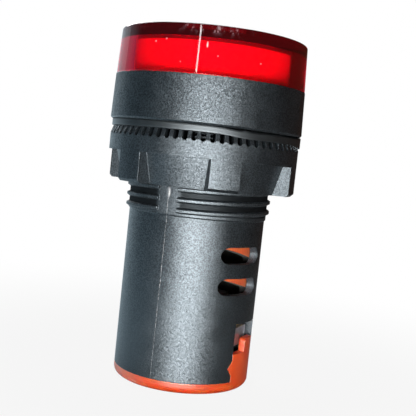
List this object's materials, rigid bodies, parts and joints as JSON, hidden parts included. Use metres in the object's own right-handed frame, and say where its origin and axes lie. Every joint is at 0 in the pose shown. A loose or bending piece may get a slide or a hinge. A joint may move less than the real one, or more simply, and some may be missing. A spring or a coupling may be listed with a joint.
{
  "type": "indicator light",
  "caption": "Round panel indicator light: clear red lens in a black bezel, threaded neck with gasket and lugged nut, vented barrel and an orange screw-terminal base.",
  "frame": {"origin": "centre of the flat rear face of the terminal base", "axes": "+Z along the barrel towards the lens, +X out of one wire window and -X out of the other"},
  "size_m": [0.029, 0.029, 0.0517],
  "materials": {
    "black_housing": "spark-eroded matte",
    "black_nut": "spark-eroded matte",
    "red_lens": "clear gloss",
    "red_diffuser": "satin",
    "lamp_board": "solder mask",
    "lamp_epoxy": "clear gloss",
    "gasket_rubber": "matte rubber",
    "orange_base": "satin moulded",
    "strip_brass": "stamped brass",
    "plated_steel": "zinc plated",
    "washer_steel": "spring steel",
    "driver_board": "paper laminate",
    "capacitor_case": "dipped epoxy",
    "resistor_body": "lacquer",
    "bleed_body": "lacquer",
    "diode_body": "moulded epoxy",
    "tinned_wire": "tinned"
  },
  "bodies": {
    "root": {"housing": "black_housing", "lens_cap": "red_lens", "diffuser_cup": "red_diffuser", "led_board": "lamp_board", "led_lamps": "lamp_epoxy", "terminal_base": "orange_base", "terminal_strip_right": "strip_brass", "terminal_strip_left": "strip_brass", "driver_board": "driver_board", "film_capacitor": "capacitor_case", "series_resistors": "resistor_body", "bleed_resistor": "bleed_body", "rectifier_diodes": "diode_body", "link_pins": "tinned_wire"},
    "gasket": {"sealing_gasket": "gasket_rubber"},
    "nut": {"mounting_nut": "black_nut"},
    "clamp_right": {"clamp_plate_right": "plated_steel"},
    "screw_right": {"terminal_screw_right": "plated_steel", "spring_washer_right": "washer_steel"},
    "clamp_left": {"clamp_plate_left": "plated_steel"},
    "screw_left": {"terminal_screw_left": "plated_steel", "spring_washer_left": "washer_steel"}
  },
  "joints": [
    {"name": "gasket_turn", "type": "hinge", "parent": "root", "child": "gasket", "pos_m": [0, 0, 0.0378], "axis": [0, 0, 1], "range_deg": [-1442, 0]},
    {"name": "nut_travel", "type": "slide", "parent": "gasket", "child": "nut", "axis": [0, 0, 1], "range_m": [-0.006, 0]},
    {"name": "clamp_travel_right", "type": "slide", "parent": "root", "child": "clamp_right", "axis": [0, 0, 1], "range_m": [-0.0024, 0]},
    {"name": "screw_turn_right", "type": "hinge", "parent": "clamp_right", "child": "screw_right", "pos_m": [0.0049, 0, 0.0075], "axis": [0, 0, 1], "range_deg": [-1730, 0]},
    {"name": "clamp_travel_left", "type": "slide", "parent": "root", "child": "clamp_left", "axis": [0, 0, 1], "range_m": [-0.0024, 0]},
    {"name": "screw_turn_left", "type": "hinge", "parent": "clamp_left", "child": "screw_left", "pos_m": [-0.0049, 0, 0.0075], "axis": [0, 0, 1], "range_deg": [-1730, 0]}
  ],
  "couplings": [
    {"joint": "gasket_turn", "follows": "nut_travel", "rad_per_m": 4188.8},
    {"joint": "screw_turn_right", "follows": "clamp_travel_right", "rad_per_m": 12566},
    {"joint": "screw_turn_left", "follows": "clamp_travel_left", "rad_per_m": 12566}
  ]
}
